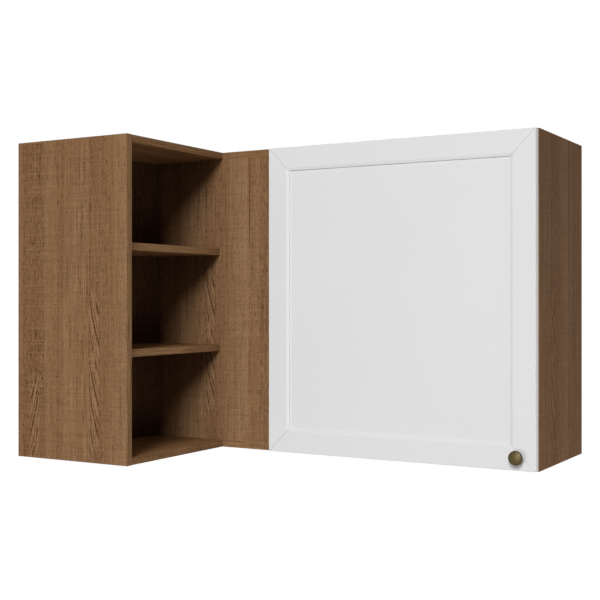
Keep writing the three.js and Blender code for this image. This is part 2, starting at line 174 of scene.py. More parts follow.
grainSettings = {
    "left": -0.08,  # the print repeats; metres across from the end panel's left edge
    "width": 0.62,
    "top": -0.2,  # and metres down from its top
    "length": 1.9,
    "ripple": 0.0008,
    # bands of darker and lighter wood: from, to, how much lighter
    "shades": [
        (-0.01, 0.005, -0.13),
        (0.005, 0.011, 0.005),
        (0.011, 0.077, -0.075),
        (0.113, 0.133, -0.045),
        (0.206, 0.236, -0.075),
        (0.236, 0.257, -0.01),
        (0.275, 0.297, 0.06),
        (0.297, 0.327, 0.095),
        (0.329, 0.347, -0.015),
        (0.347, 0.357, 0.035),
        (0.357, 0.388, -0.015),
        (0.435, 0.48, -0.07),
    ],
    "rough": [(0.024, 0.077), (0.435, 0.48)],
    "roughRows": [(-0.25, 0.325), (0.42, 0.58), (0.85, 1.3)],
    "plain": [(0.118, 0.166)],
    "plainRows": [(0.33, 0.9)],
    "threads": [(0.166, 0.206), (0.485, 0.51)],
    "columns": [
        (0.011, 0.021), (0.1135, 0.119), (0.128, 0.133), (0.205, 0.209), (0.236, 0.256), (0.36, 0.384)
    ],
    "crack": [(0.3295, 0.3335)],
    "crackRows": [(-0.3, 0.28), (1.1, 1.5)],
    # dark growth lines that flare away from the middle of the two legs
    "middle": 0.134,
    "gap": 0.07,
    "flare": 13.0,
    "climb": 15.0,
    "legRight": [(0.2045, 0.232)],
    "legRightRows": [(0.335, 0.68), (1.05, 1.6)],
    "legLeft": [(0.036, 0.0635)],
    "legLeftRows": [(0.52, 0.82), (1.2, 1.5)],
}


def makeGrainGroup(settings):
    # Printed wood on a sheet that repeats: bands of lighter and darker wood, rough ones with short
    # dashes and saw marks, fine threads both ways, and growth lines where 15 times the depth less
    # 13 times the root of the way out from the legs' middle is a whole number and a half
    group, source, result = newGroup(
        "sawnWoodGrain",
        [
            ("Sheet", "vector", None),
            ("Streaks", "value", 1.0),
            ("Flames", "value", 1.0),
            ("Pores", "value", 1.0),
            ("Saw marks", "value", 1.0),
        ],
        ("Tone", "Warmth", "Pore", "Height"),
    )
    sheet = source["Sheet"]

    def product(*values):
        return chain(group, "MULTIPLY", *values)

    def total(*values):
        return chain(group, "ADD", *values)

    def swing(vector, factors, detail, roughness, amount):
        # a texture that swings about zero
        return product(calc(group, "SUBTRACT", noise(group, vector, factors, detail, roughness), 0.5), amount)

    def within(value, spans, softness):
        # 1 inside any of the spans
        inside = []
        for low, high in spans:
            rise = ease(group, value, low - softness, low + softness)
            fall = ease(group, value, high - softness, high + softness, 1.0, 0.0)
            inside.append(product(rise, fall))
        return chain(group, "MAXIMUM", *inside)

    parts = putNode(group, "SeparateXYZ", {0: sheet}).outputs
    along = parts[1]
    across = total(parts[0], swing(sheet, (26.0, 5.0, 1.0), 2.0, 0.5, settings["ripple"]))
    bent = putNode(group, "CombineXYZ", {0: across, 1: along, 2: 0.0}).outputs[0]
    left = settings["left"]
    top = settings["top"]
    place = calc(group, "WRAP", across, left + settings["width"], left)
    depth = calc(group, "WRAP", calc(group, "MULTIPLY", along, -1.0), top + settings["length"], top)

    shade = total(*[
        product(within(place, [(low, high)], 0.0012), amount) for low, high, amount in settings["shades"]
    ])
    rows = total(product(within(depth, settings["roughRows"], 0.02), 0.7), 0.3)
    rough = product(within(place, settings["rough"], 0.0015), rows)
    plain = product(within(place, settings["plain"], 0.005), within(depth, settings["plainRows"], 0.03))
    threads = within(place, settings["threads"], 0.002)
    columns = within(place, settings["columns"], 0.0008)
    crack = product(within(place, settings["crack"], 0.0008), within(depth, settings["crackRows"], 0.03))

    # growth lines in pairs, one dark and one weaker, a little broken along their length
    offset = calc(group, "ABSOLUTE", calc(group, "SUBTRACT", place, settings["middle"]))
    wayOut = calc(group, "MAXIMUM", calc(group, "SUBTRACT", offset, settings["gap"]), 0.0)
    phase = total(
        product(depth, settings["climb"]),
        product(calc(group, "SQRT", wayOut), -settings["flare"]),
        swing(sheet, (7.0, 2.0, 1.0), 2.0, 0.5, 0.4),
    )

    def ridge(value, sharpness):
        # 1 at every half number, falling off to both sides
        turned = calc(group, "SUBTRACT", calc(group, "MULTIPLY", calc(group, "FRACT", value), 2.0), 1.0)
        return calc(group, "POWER", calc(group, "SUBTRACT", 1.0, calc(group, "ABSOLUTE", turned)), sharpness)

    legRight = product(
        within(place, settings["legRight"], 0.002), within(depth, settings["legRightRows"], 0.015)
    )
    legLeft = product(
        within(place, settings["legLeft"], 0.0015), within(depth, settings["legLeftRows"], 0.02)
    )
    leg = calc(group, "MAXIMUM", legRight, legLeft)
    broken = ease(group, noise(group, bent, (120.0, 22.0, 1.0), 2.0, 0.6), 0.32, 0.52)
    strokes = total(ridge(phase, 5.0), product(ridge(total(phase, 0.4), 7.0), 0.55))
    stroke = product(strokes, leg, broken, source["Flames"])

    # threads across: pale saw lines in the rough bands, fainter ones everywhere
    saw = ease(group, noise(group, sheet, (4.0, 190.0, 1.0), 1.0, 0.5), 0.54, 0.66)
    saw = product(saw, total(product(rough, 0.75), 0.25), source["Saw marks"])
    weft = product(
        swing(sheet, (8.0, 430.0, 1.0), 1.0, 0.5, 1.0),
        total(product(rough, 0.04), 0.24),
    )

    # pores: short upright dashes in clumps, dense in the rough bands and the columns
    clump = ease(group, noise(group, sheet, (62.0, 48.0, 1.0), 2.0, 0.5), 0.5, 0.62)
    dash = ease(group, noise(group, bent, (360.0, 60.0, 1.0), 2.0, 0.55), 0.46, 0.62)
    deeper = ease(group, depth, 0.28, 0.42, 0.62, 1.0)
    crowd = total(
        product(rough, deeper, total(product(clump, 0.76), 0.14)),
        product(columns, total(product(clump, 0.26), 0.15)),
        product(leg, 0.25),
        0.1,
    )
    dash = product(dash, crowd, calc(group, "SUBTRACT", 1.0, product(saw, 0.6)), source["Pores"])
    fineDash = ease(group, noise(group, bent, (760.0, 55.0, 1.0), 1.0, 0.5), 0.5, 0.72)
    fineDash = product(fineDash, source["Pores"])

    # tone, from the bands down to single threads
    thread = product(
        swing(bent, (430.0, 8.0, 1.0), 2.0, 0.6, 1.0),
        total(product(threads, 0.44), 0.62),
    )
    streaks = total(
        swing(bent, (16.0, 0.7, 1.0), 2.0, 0.6, 0.14),
        swing(bent, (95.0, 1.5, 1.0), 3.0, 0.7, 0.24),
        thread,
    )
    tone = total(
        0.53,
        product(streaks, source["Streaks"]),
        weft,
        swing(sheet, (340.0, 190.0, 1.0), 2.0, 0.65, 0.6),
        swing(sheet, (70.0, 34.0, 1.0), 2.0, 0.5, 0.1),
        shade,
        product(plain, 0.06),
        product(leg, 0.2),
        product(crack, -0.2),
        product(stroke, -0.75),
        product(dash, -0.4),
        product(fineDash, -0.18),
        product(saw, 0.09),
    )
    group.links.new(calc(group, "MINIMUM", calc(group, "MAXIMUM", tone, 0.0), 1.0), result["Tone"])
    warmth = total(noise(group, bent, (18.0, 2.2, 1.0), 2.0), product(shade, 1.2))
    group.links.new(ease(group, warmth, 0.36, 0.64), result["Warmth"])
    marks = calc(group, "MAXIMUM", dash, stroke)
    group.links.new(marks, result["Pore"])
    pressed = total(marks, product(fineDash, 0.5))
    group.links.new(calc(group, "SUBTRACT", thread, pressed), result["Height"])
    return group


def makeEdgeWearGroup():
    # Rubbed and dusty places in object space: broad soft patches and fine flecks
    group, source, result = newGroup(
        "rubbedPatches",
        [("Place", "vector", None), ("Patch size", "value", 9.0), ("Fleck size", "value", 240.0)],
        ("Patches", "Flecks"),
    )
    kinds = (("Patches", "Patch size", 3.0, 0.35), ("Flecks", "Fleck size", 2.0, 0.45))
    for label, size, detail, low in kinds:
        inputs = {"Vector": source["Place"], "Detail": detail, "Scale": source[size]}
        spots = putNode(group, "TexNoise", inputs).outputs["Fac"]
        group.links.new(ease(group, spots, low, 0.7), result[label])
    return group


grainGroup = makeGrainGroup(grainSettings)
patchGroup = makeEdgeWearGroup()


# Materials

def objectPlace(tree):
    return putNode(tree, "TexCoord").outputs["Object"]


def toneColours(tree, value, steps, tones):
    # a ramp through screen colours
    ramp = putNode(tree, "ValToRGB", {"Fac": value})
    elements = ramp.color_ramp.elements
    while len(elements) < len(steps):
        elements.new(0.5)
    for element, step, tone in zip(elements, steps, tones):
        element.position = step
        element.color = tint(*tone)
    return ramp.outputs["Color"]


faceLook = {
    "steps": (0.0, 0.25, 0.5, 0.75, 1.0),
    "warm": (0.985, 0.955, 0.93, 1.0),
    "roughness": 0.82,
    "print": {"Streaks": 1.0, "Flames": 1.0, "Pores": 1.0, "Saw marks": 1.0},
    "poreDepth": 0.00012,
}
edgeLook = {
    "steps": (0.0, 0.3, 0.55, 1.0),
    "warm": (0.985, 0.96, 0.94, 1.0),
    "sheen": 0.08,
    "roughness": 0.8,
    "print": {"Streaks": 1.0, "Flames": 0.0, "Pores": 0.5, "Saw marks": 0.1},
    "poreDepth": 0.00006,
}
decorSettings = {
    "decor": {
        **faceLook,
        "name": "walnutDecor",
        "tones": [(67, 44, 28), (102, 72, 48), (131, 98, 68), (152, 120, 89), (175, 144, 113)],
        "sheen": 0.07,
    },
    # a darker copy of the decor for the right side's outer face: painted shade
    "paintedShadeSideDecor": {
        **faceLook,
        "name": "walnutDecorPaintedShadeSide",
        "tones": [(53, 34, 22), (81, 57, 38), (106, 78, 54), (123, 96, 71), (143, 117, 91)],
        "sheen": 0.09,
        "print": {"Streaks": 1.0, "Flames": 1.0, "Pores": 0.8, "Saw marks": 1.0},
    },
    # a warmer, more saturated copy of the decor for the faces inside the wing's niche: painted warm bounced
    # light
    "inside": {
        **faceLook,
        "name": "walnutDecorInsidePaintedBounce",
        "tones": [(66, 41, 24), (102, 70, 43), (133, 97, 63), (154, 119, 83), (176, 142, 106)],
        "sheen": 0.02,
        "roughness": 0.85,
        "print": {"Streaks": 1.0, "Flames": 0.6, "Pores": 0.8, "Saw marks": 0.8},
    },
    "band": {
        **edgeLook,
        "name": "walnutEdgeBand",
        "tones": [(66, 41, 22), (105, 76, 49), (134, 101, 69), (166, 134, 99)],
        "print": {"Streaks": 1.3, "Flames": 0.0, "Pores": 0.5, "Saw marks": 0.1},
    },
    "joint": {
        **edgeLook,
        "name": "walnutJointBand",
        "tones": [(63, 39, 21), (101, 73, 47), (129, 97, 66), (161, 130, 96)],
    },
    "seam": {
        "name": "edgeBandGlueLine",
        "steps": (0.0, 0.5, 1.0),
        "tones": [(50, 31, 18), (94, 66, 43), (122, 91, 62)],
        "warm": (0.98, 0.95, 0.92, 1.0),
        "sheen": 0.05,
        "roughness": 0.85,
        "print": {"Streaks": 1.0, "Flames": 0.0, "Pores": 0.6, "Saw marks": 0.0},
        "poreDepth": 0.00005,
    },
    # a darker copy of the decor: painted shade for the deep back of the wing's niche; the back sheets' inner
    # faces take it too
    "dark": {
        **faceLook,
        "name": "walnutDecorPaintedShade",
        "steps": (0.0, 0.45, 1.0),
        "tones": [(37, 23, 13), (68, 46, 29), (103, 73, 49)],
        "sheen": 0.03,
        "roughness": 0.85,
        "print": {"Streaks": 1.0, "Flames": 0.6, "Pores": 0.8, "Saw marks": 0.5},
        "poreDepth": 0.0001,
    },
}


def makeDecor(settings):
    # Melamine board with printed wood and pores pressed into it
    material, tree, shader = newMaterial(settings["name"], Specular_IOR_Level=settings["sheen"])
    sheet = putNode(tree, "UVMap", uv_map="sheet").outputs[0]
    grain = useGroup(tree, grainGroup, {"Sheet": sheet, **settings["print"]})
    colour = toneColours(tree, grain["Tone"], settings["steps"], settings["tones"])
    shade = blendColours(tree, grain["Warmth"], settings["warm"], (1.0, 1.0, 1.0, 1.0))
    tree.links.new(blendColours(tree, 1.0, colour, shade, "MULTIPLY"), shader.inputs["Base Color"])
    patches = useGroup(tree, patchGroup, {"Place": objectPlace(tree)})
    rubbed = calc(tree, "MULTIPLY", patches["Patches"], -0.05)
    pressed = calc(tree, "MULTIPLY", grain["Pore"], 0.14)
    tree.links.new(chain(tree, "ADD", rubbed, pressed, settings["roughness"]), shader.inputs["Roughness"])
    bumpOn(tree, shader, grain["Height"], settings["poreDepth"])
    return material


def makeChipboard():
    # Sawn core: pressed wood flakes of several tones with small gaps between them
    material, tree, shader = newMaterial("rawChipboard", Specular_IOR_Level=0.2)
    place = objectPlace(tree)
    warp = putNode(tree, "TexNoise", {"Vector": place, "Scale": 300.0, "Detail": 2.0})
    shifted = putNode(tree, "VectorMath", {0: warp.outputs["Color"], 3: 0.004}, operation="SCALE")
    shifted = putNode(tree, "VectorMath", {0: place, 1: shifted.outputs[0]}, operation="ADD")
    flakes = putNode(tree, "TexVoronoi", {"Vector": shifted.outputs[0], "Scale": 420.0})
    tone = putNode(tree, "SeparateColor", {0: flakes.outputs["Color"]}).outputs[0]
    tones = [(120, 88, 58), (164, 130, 92), (186, 154, 114), (206, 178, 138)]
    colour = toneColours(tree, tone, (0.0, 0.35, 0.75, 1.0), tones)
    tree.links.new(colour, shader.inputs["Base Color"])
    shader.inputs["Roughness"].default_value = 0.85
    gaps = ease(tree, flakes.outputs["Distance"], 0.2, 0.7, 1.0, 0.0)
    bumpOn(tree, shader, gaps, 0.0003)
    return material


def makeHardboard():
    # Rear of the thin back: brown fibre felt with the print of the press screen
    material, tree, shader = newMaterial("hardboardRear", Specular_IOR_Level=0.2)
    place = objectPlace(tree)
    fibres = noise(tree, place, (240.0, 240.0, 240.0), 4.0, 0.7)
    clouds = noise(tree, place, (7.0, 7.0, 7.0), 2.0)
    tone = calc(tree, "ADD", calc(tree, "MULTIPLY", fibres, 0.7), calc(tree, "MULTIPLY", clouds, 0.3))
    colour = toneColours(tree, tone, (0.3, 0.5, 0.7), [(88, 63, 42), (116, 86, 58), (140, 107, 76)])
    tree.links.new(colour, shader.inputs["Base Color"])
    shader.inputs["Roughness"].default_value = 0.8
    parts = putNode(tree, "SeparateXYZ", {0: place}).outputs
    weftWave = calc(tree, "SINE", calc(tree, "MULTIPLY", parts[0], 2600.0))
    warpWave = calc(tree, "SINE", calc(tree, "MULTIPLY", parts[2], 2600.0))
    screen = calc(tree, "MULTIPLY", weftWave, warpWave)
    height = calc(tree, "ADD", calc(tree, "MULTIPLY", screen, 0.35), fibres)
    bumpOn(tree, shader, height, 0.00025)
    return material


def makePaint():
    # Satin white paint on board: slight orange peel, a few duller rubbed places
    material, tree, shader = newMaterial(
        "whiteDoorPaint", Specular_IOR_Level=0.25, Coat_Weight=0.08, Coat_Roughness=0.3
    )
    place = objectPlace(tree)
    patches = useGroup(tree, patchGroup, {"Place": place, "Patch size": 5.0, "Fleck size": 500.0})
    colour = blendColours(tree, patches["Patches"], tint(222, 222, 223), tint(223, 223, 224))
    tree.links.new(colour, shader.inputs["Base Color"])
    gloss = calc(tree, "ADD", calc(tree, "MULTIPLY", patches["Patches"], 0.04), 0.42)
    gloss = calc(tree, "ADD", gloss, calc(tree, "MULTIPLY", patches["Flecks"], 0.02))
    tree.links.new(gloss, shader.inputs["Roughness"])
    peel = noise(tree, place, (420.0, 420.0, 420.0), 2.0)
    bumpOn(tree, shader, peel, 0.00001)
    return material


def makeKnobBrass(centre):
    # Aged brass: turning marks round the knob's axis, brown patina in patches and at the rim
    material, tree, shader = newMaterial("agedKnobBrass", Metallic=0.62)
    place = objectPlace(tree)
    moved = putNode(tree, "Mapping", {"Vector": place, "Location": tuple(-value for value in centre)})
    parts = putNode(tree, "SeparateXYZ", {0: moved.outputs[0]}).outputs
    squares = [calc(tree, "MULTIPLY", parts[index], parts[index]) for index in (0, 2)]
    radius = calc(tree, "SQRT", calc(tree, "ADD", *squares))
    rings = putNode(tree, "TexNoise", {"W": radius, "Scale": 2600.0, "Detail": 2.0}, noise_dimensions="1D")
    patches = useGroup(tree, patchGroup, {"Place": place, "Patch size": 130.0, "Fleck size": 900.0})
    rim = ease(tree, radius, 0.0112, 0.0148)
    patina = calc(tree, "MULTIPLY", patches["Patches"], 0.35)
    patina = calc(tree, "MAXIMUM", patina, calc(tree, "MULTIPLY", rim, 0.85))
    patina = calc(tree, "ADD", patina, calc(tree, "MULTIPLY", patches["Flecks"], 0.1), clamp=True)
    colour = blendColours(tree, patina, tint(80, 71, 37), tint(61, 41, 25))
    tree.links.new(colour, shader.inputs["Base Color"])
    dull = calc(tree, "MULTIPLY", rings.outputs["Fac"], 0.12)
    dull = calc(tree, "ADD", dull, calc(tree, "MULTIPLY", patina, 0.18))
    tree.links.new(calc(tree, "ADD", dull, 0.29), shader.inputs["Roughness"])
    bumpOn(tree, shader, rings.outputs["Fac"], 0.00004)
    return material


def makeMetal(name, colour, stain, roughness):
    # Plated sheet steel or cast zinc: fine drawn lines, faint cloudy stains
    material, tree, shader = newMaterial(name, Metallic=1.0)
    place = objectPlace(tree)
    patches = useGroup(tree, patchGroup, {"Place": place, "Patch size": 60.0, "Fleck size": 1500.0})
    mixed = blendColours(tree, calc(tree, "MULTIPLY", patches["Patches"], 0.6), colour, stain)
    tree.links.new(mixed, shader.inputs["Base Color"])
    lines = noise(tree, place, (300.0, 300.0, 2600.0), 2.0)
    dull = calc(tree, "ADD", calc(tree, "MULTIPLY", lines, 0.14), roughness)
    dull = calc(tree, "ADD", dull, calc(tree, "MULTIPLY", patches["Flecks"], 0.06))
    tree.links.new(dull, shader.inputs["Roughness"])
    bumpOn(tree, shader, lines, 0.00002)
    return material


def makePlastic(name, colour, shade, grit):
    # Moulded plastic with a finely etched skin
    material, tree, shader = newMaterial(name, Specular_IOR_Level=0.4)
    place = objectPlace(tree)
    patches = useGroup(tree, patchGroup, {"Place": place, "Patch size": 25.0, "Fleck size": 1800.0})
    tree.links.new(blendColours(tree, patches["Patches"], colour, shade), shader.inputs["Base Color"])
    dull = calc(tree, "ADD", calc(tree, "MULTIPLY", patches["Flecks"], 0.1), 0.45)
    tree.links.new(dull, shader.inputs["Roughness"])
    bumpOn(tree, shader, patches["Flecks"], grit)
    return material


boardMaterials = {label: makeDecor(settings) for label, settings in decorSettings.items()}
boardMaterials["raw"] = makeChipboard()
boardMaterials["fibre"] = makeHardboard()
boardMaterials["paint"] = makePaint()
platedSteel = makeMetal("platedSteel", tint(182, 184, 186), tint(160, 158, 152), 0.34)
castZinc = makeMetal("castZinc", tint(164, 166, 164), tint(138, 137, 132), 0.42)
whitePlastic = makePlastic("whitePlastic", tint(226, 226, 222), tint(216, 216, 210), 0.00004)
padPlastic = makePlastic("clearPadPlastic", tint(214, 216, 216), tint(200, 203, 204), 0.00002)
print("materials made")


# Mesh helpers

def meshPiece(name, points, faces, materials, slots=None):
    mesh = bpy.data.meshes.new(name)
    mesh.from_pydata(points, [], faces)
    for material in materials:
        mesh.materials.append(material)
    if slots is not None:
        mesh.polygons.foreach_set("material_index", np.asarray(slots, np.int32))
    mesh.validate()
    piece = bpy.data.objects.new(name, mesh)
    bpy.context.scene.collection.objects.link(piece)
    return piece


def settleNormals(piece, angle=38.0):
    # smooth over small bends, sharp at real edges, large faces kept flat
    mesh = piece.data
    mesh.polygons.foreach_set("use_smooth", np.ones(len(mesh.polygons), bool))
    mesh.set_sharp_from_angle(angle=math.radians(angle))
    modifier = piece.modifiers.new("flatFaces", "WEIGHTED_NORMAL")
    modifier.weight = 100
    modifier.keep_sharp = True


def drill(piece, cutters):
    # takes each cutter out of the piece, then drops the cutters
    for cutter in cutters:
        modifier = piece.modifiers.new("drill", "BOOLEAN")
        modifier.operation = "DIFFERENCE"
        modifier.solver = "EXACT"
        modifier.object = cutter
    depsgraph = bpy.context.evaluated_depsgraph_get()
    cut = bpy.data.meshes.new_from_object(piece.evaluated_get(depsgraph))
    piece.modifiers.clear()
    old = piece.data
    cut.name = old.name
    piece.data = cut
    bpy.data.meshes.remove(old)
    for cutter in cutters:
        bpy.data.objects.remove(cutter)


def mount(piece, body, slot, *standsFor):
    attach(piece, body)
    if standsFor:
        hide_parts(*standsFor)
    return piece


def boxOf(name):
    low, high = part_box(name)
    return np.array(low), np.array(high)


def ringQuads(rings, steps):
    # four-sided faces between each ring of points and the next
    ring, step = np.meshgrid(np.arange(rings - 1), np.arange(steps), indexing="ij")
    after = (step + 1) % steps
    return np.stack([
        ring * steps + step,
        ring * steps + after,
        (ring + 1) * steps + after,
        (ring + 1) * steps + step,
    ], axis=-1).reshape(-1, 4)


# Turned pieces: a profile of (radius, distance along the axis) pairs carried round the axis

def axisFrame(direction):
    along = np.array(direction, float)
    side = np.array([0.0, 0.0, 1.0]) if abs(along[2]) < 0.9 else np.array([1.0, 0.0, 0.0])
    first = np.cross(side, along)
    first /= np.linalg.norm(first)
    return first, np.cross(along, first), along


def turnedPiece(name, profile, place, direction, material, steps, recess=None):
    # point = place + r cos(a) e1 + r sin(a) e2 + h axis, with h lowered by recess(x, y) where the
    # profile allows it; the first and the last profile point lie on the axis
    profile = np.asarray(profile, float)
    first, second, along = axisFrame(direction)
    angles = np.arange(steps) * (2 * math.pi / steps)
    radii = profile[1:-1, 0][:, None]
    flatX = radii * np.cos(angles)
    flatY = radii * np.sin(angles)
    heights = np.repeat(profile[1:-1, 1][:, None], steps, axis=1)
    tipHeight = profile[0, 1]
    if recess is not None:
        share = profile[1:-1, 2][:, None]
        heights = heights + share * recess(flatX, flatY)
        tipHeight = tipHeight + float(recess(np.zeros(1), np.zeros(1))[0])
    rings = (
        np.asarray(place)
        + flatX[..., None] * first
        + flatY[..., None] * second
        + heights[..., None] * along
    )
    start = np.asarray(place) + tipHeight * along
    end = np.asarray(place) + profile[-1, 1] * along
    points = np.vstack([rings.reshape(-1, 3), start, end])
    count = len(rings)
    turn = np.arange(steps)
    turnAfter = (turn + 1) % steps
    startFan = np.stack([np.full(steps, count * steps), turnAfter, turn], axis=-1)
    last = (count - 1) * steps
    endFan = np.stack([np.full(steps, count * steps + 1), last + turn, last + turnAfter], axis=-1)
    faces = ringQuads(count, steps).tolist() + startFan.tolist() + endFan.tolist()
    return meshPiece(name, points.tolist(), faces, [material])


# Boards: an outline with softly rounded corners, and a quarter round where faces meet edges

boardSettings = {
    "roundSteps": 4,
    "bandEase": 0.0006,
    "rawEase": 0.0002,
    "bandCorner": 0.0008,
    "rawCorner": 0.00025,
    # how far the upper face and the edges lie from the lower face on the printed sheet
    "upperPrint": (1.31, 2.17),
    "edgePrint": 3.1,
}


def roundOutline(corners, radii, sideEases, steps):
    # each corner becomes an arc that touches both sides; every point keeps the side that it starts
    # and how far the faces are eased there
    corners = np.asarray(corners, float)
    radii = np.asarray(radii, float)
    before = corners - np.roll(corners, 1, axis=0)
    after = np.roll(corners, -1, axis=0) - corners
    before /= np.linalg.norm(before, axis=1)[:, None]
    after /= np.linalg.norm(after, axis=1)[:, None]
    turn = before[:, 0] * after[:, 1] - before[:, 1] * after[:, 0]
    angle = np.arctan2(turn, (before * after).sum(axis=1))
    bend = np.sign(angle)[:, None]
    setback = radii * np.tan(np.abs(angle) / 2)
    inward = np.stack([-before[:, 1], before[:, 0]], axis=1) * bend
    centre = corners - before * setback[:, None] + inward * radii[:, None]
    share = np.linspace(0, 1, steps + 1)
    swing = angle[:, None] * share
    cosine = np.cos(swing)[..., None]
    sine = np.sin(swing)[..., None]
    arm = -inward[:, None, :]
    turned = arm * cosine + np.stack([-arm[..., 1], arm[..., 0]], axis=-1) * sine
    points = centre[:, None, :] + turned * radii[:, None, None]
    outward = turned * bend[:, None, :]
    count = len(corners)
    side = np.repeat((np.arange(count) - 1)[:, None] % count, steps + 1, axis=1)
    side[:, -1] = np.arange(count)
    sideEases = np.asarray(sideEases, float)
    eased = np.roll(sideEases, 1)[:, None] * (1 - share) + sideEases[:, None] * share
    return points.reshape(-1, 2), outward.reshape(-1, 2), side.reshape(-1), eased.reshape(-1)


def boardPiece(name, outline, axis, low, high, finish):
    # ring k of the board = outline moved in by e(1 - sin t) at height e(1 - cos t) from the face
    steps = boardSettings["roundSteps"]
    plane = [index for index in range(3) if index != axis]
    outline = np.asarray(outline, float)
    area = np.sum(outline[:, 0] * np.roll(outline[:, 1], -1) - outline[:, 1] * np.roll(outline[:, 0], -1))
    sides = list(finish["sides"])
    if area < 0:
        outline = outline[::-1]
        sides = sides[-2::-1] + sides[-1:]
    banded = np.array([label in finish["softSides"] for label in sides])
    radii = np.where(banded & np.roll(banded, 1), boardSettings["bandCorner"], boardSettings["rawCorner"])
    sideEases = np.where(banded, finish["ease"], boardSettings["rawEase"])
    flat, outward, sideOf, eased = roundOutline(outline, radii, sideEases, steps)
    bend = np.linspace(0, math.pi / 2, steps + 1)
    inset = np.concatenate([1 - np.sin(bend), 1 - np.sin(bend[::-1])])
    rise = finish["ease"] * (1 - np.cos(bend))
    level = np.concatenate([low + rise, high - rise[::-1]])
    count = len(flat)
    rings = len(inset)
    points = np.zeros((rings, count, 3))
    shifted = flat[None] - outward[None] * (inset[:, None] * eased[None, :])[..., None]
    points[..., plane[0]] = shifted[..., 0]
    points[..., plane[1]] = shifted[..., 1]
    points[..., axis] = level[:, None]
    quads = ringQuads(rings, count)
    lowCap = np.arange(count)[::-1]
    highCap = (rings - 1) * count + np.arange(count)
    if axis == 1:  # x and z run the other way round about y
        quads = quads[:, ::-1]
        lowCap = lowCap[::-1]
        highCap = highCap[::-1]
    faces = quads.tolist() + [lowCap.tolist(), highCap.tolist()]
    slotNames = list(dict.fromkeys([finish["lowFace"], finish["highFace"], *sides]))
    sideSlot = np.array([slotNames.index(sides[side]) for side in sideOf])
    rowSlots = np.tile(sideSlot, (rings - 1, 1))
    if "band" in sides:  # the glue line shows where the edge band meets the faces
        slotNames.append("seam")
        seamed = sideSlot == slotNames.index("band")
        rowSlots[:2, seamed] = len(slotNames) - 1
        rowSlots[-2:, seamed] = len(slotNames) - 1
    slots = np.concatenate([
        rowSlots.ravel(),
        [slotNames.index(finish["lowFace"]), slotNames.index(finish["highFace"])],
    ])
    materials = [boardMaterials[label] for label in slotNames]
    piece = meshPiece(name, points.reshape(-1, 3).tolist(), faces, materials, slots)

    # place on the printed sheet: faces by position, edges by thickness and running length
    running = np.concatenate([[0], np.cumsum(np.linalg.norm(np.diff(flat, axis=0), axis=1))])
    whole = running[-1] + np.linalg.norm(flat[0] - flat[-1])
    mesh = piece.data
    corner = np.zeros(len(mesh.loops), np.int32)
    mesh.loops.foreach_get("vertex_index", corner)
    place = points.reshape(-1, 3)[corner]
    totals = np.zeros(len(mesh.polygons), np.int32)
    mesh.polygons.foreach_get("loop_total", totals)
    faceOf = np.repeat(np.arange(len(mesh.polygons)), totals)
    onCap = faceOf >= len(quads)
    alongAxis = finish["grain"]
    acrossAxis = [index for index in plane if index != alongAxis][0]
    spot = np.array(finish["spot"], float)
    capPlace = np.stack([place[:, acrossAxis], place[:, alongAxis]], axis=1) + spot
    capPlace[faceOf == len(quads) + 1] += boardSettings["upperPrint"]
    length = running[corner % count]
    wraps = (faceOf % count == count - 1) & (corner % count == 0)
    length = np.where(wraps, whole, length)
    if alongAxis == axis:
        edgePlace = np.stack([length + spot[0], place[:, axis] + spot[1]], axis=1)
    else:
        thickness = place[:, axis] + spot[0] + boardSettings["edgePrint"]
        edgePlace = np.stack([thickness, length + spot[1]], axis=1)
    sheet = mesh.uv_layers.new(name="sheet")
    sheet.data.foreach_set("uv", np.where(onCap[:, None], capPlace, edgePlace).ravel())
    return piece


def rectangle(low, high, plane):
    a, b = plane
    return [(low[a], low[b]), (high[a], low[b]), (high[a], high[b]), (low[a], high[b])]


def roundCutter(centre, direction, radius, length, steps=48):
    # starts a little in front of the face, so that the cut is clean
    lead = 0.0006
    start = np.asarray(centre, float) - np.asarray(direction, float) * lead
    profile = [(0, 0), (radius, 0), (radius, length + lead), (0, length + lead)]
    return turnedPiece("cutter", profile, start, direction, boardMaterials["raw"], steps)


# sides in the order of rectangle(): at its low second end, high first end, high second, low first
panelSides = ("joint", "band", "joint", "joint")
carcassSides = ("band", "raw", "band", "band")
deckSides = ("band", "joint", "raw", "joint")
nicheSides = ("joint", "band", "joint", "raw")
boards = {
    "end_panel": {"axis": 1, "grain": 2, "sides": ("band",) * 4, "spot": (0.541, -0.051)},
    "filler_panel": {"axis": 1, "grain": 2, "sides": panelSides, "spot": (0.489, -0.111)},
    "hinge_stile": {"axis": 0, "grain": 2, "sides": panelSides, "spot": (2.3, 1.1)},
    "left_side": {"axis": 0, "grain": 2, "sides": carcassSides, "spot": (3.7, 2.6)},
    "right_side": {"axis": 0, "grain": 2, "sides": carcassSides, "spot": (-0.873, -2.221)},
    "top_board": {"axis": 2, "grain": 0, "sides": deckSides, "spot": (5.3, 0.7)},
    "bottom_board": {"axis": 2, "grain": 0, "sides": deckSides, "spot": (6.1, 4.2)},
    "hanging_rail": {"axis": 1, "grain": 0, "sides": ("band", "joint", "joint", "joint"), "spot": (7.2, 2.2)},
    "niche_top_board": {"axis": 2, "grain": 1, "sides": nicheSides, "spot": (8.165, 1.9)},
    "niche_bottom_board": {"axis": 2, "grain": 1, "sides": nicheSides, "spot": (9.172, 3.1)},
}
faceDecors = {
    # lower and upper face where they differ from the plain decor
    # the right side's outer face takes the darker copy of the decor: painted shade
    "right_side": ("decor", "paintedShadeSideDecor"),
    # faces inside the niche take the warmer copy of the decor: painted warm bounced light
    "niche_top_board": ("inside", "decor"),
    "niche_bottom_board": ("decor", "inside"),
}


